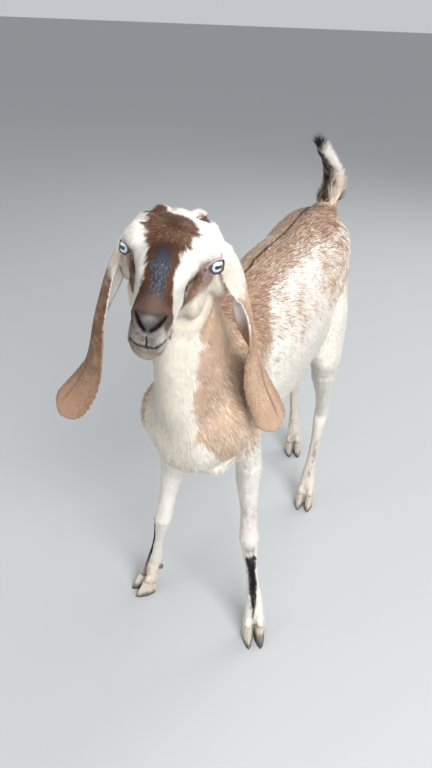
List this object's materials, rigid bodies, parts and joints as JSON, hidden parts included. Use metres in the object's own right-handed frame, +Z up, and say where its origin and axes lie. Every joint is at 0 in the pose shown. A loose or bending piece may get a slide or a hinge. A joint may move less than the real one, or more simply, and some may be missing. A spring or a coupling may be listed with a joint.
{
  "type": "goat",
  "caption": "Life-size still model of a standing lop-eared dairy goat, head raised and turned to its left, tail up; it rests on its hooves.",
  "frame": {"origin": "on the floor under the middle of the whole animal's box, ears, feet and tail included", "axes": "+Z up; the goat faces -Y; its left side is +X"},
  "size_m": [0.2904, 0.8662, 0.8244],
  "materials": {
    "body_coat": "short fawn-brown hair roaned with white, white below",
    "face_coat": "very short white hair with a chestnut blaze and a slate stripe down the nose",
    "ear_coat": "very short tan hair outside, bare pinkish skin inside",
    "tail_coat": "longer hair, dark above with white fringes",
    "leg_coat": "short white hair with dark stripes and grey speckles",
    "hoof": "grey-brown horn, satin, with growth rings",
    "eye": "wet, pale blue iris with a level dark pupil",
    "nose_skin": "bare grey skin, slightly moist"
  },
  "bodies": {
    "root": {"ear_left": "ear_coat", "ear_right": "ear_coat", "eye_left": "eye", "eye_right": "eye", "fore_cannon_left": "leg_coat", "fore_cannon_right": "leg_coat", "fore_foot_left": "leg_coat", "fore_foot_right": "leg_coat", "fore_left_claw_inner": "hoof", "fore_left_claw_outer": "hoof", "fore_left_dewclaw_inner": "hoof", "fore_left_dewclaw_outer": "hoof", "fore_right_claw_inner": "hoof", "fore_right_claw_outer": "hoof", "fore_right_dewclaw_inner": "hoof", "fore_right_dewclaw_outer": "hoof", "forearm_left": "leg_coat", "forearm_right": "leg_coat", "head": "face_coat", "hind_cannon_left": "leg_coat", "hind_cannon_right": "leg_coat", "hind_foot_left": "leg_coat", "hind_foot_right": "leg_coat", "hind_left_claw_inner": "hoof", "hind_left_claw_outer": "hoof", "hind_left_dewclaw_inner": "hoof", "hind_left_dewclaw_outer": "hoof", "hind_right_claw_inner": "hoof", "hind_right_claw_outer": "hoof", "hind_right_dewclaw_inner": "hoof", "hind_right_dewclaw_outer": "hoof", "lower_jaw": "face_coat", "neck": "body_coat", "shank_left": "leg_coat", "shank_right": "leg_coat", "tail": "tail_coat", "thigh_left": "leg_coat", "thigh_right": "leg_coat", "trunk": "body_coat"}
  },
  "joints": []
}
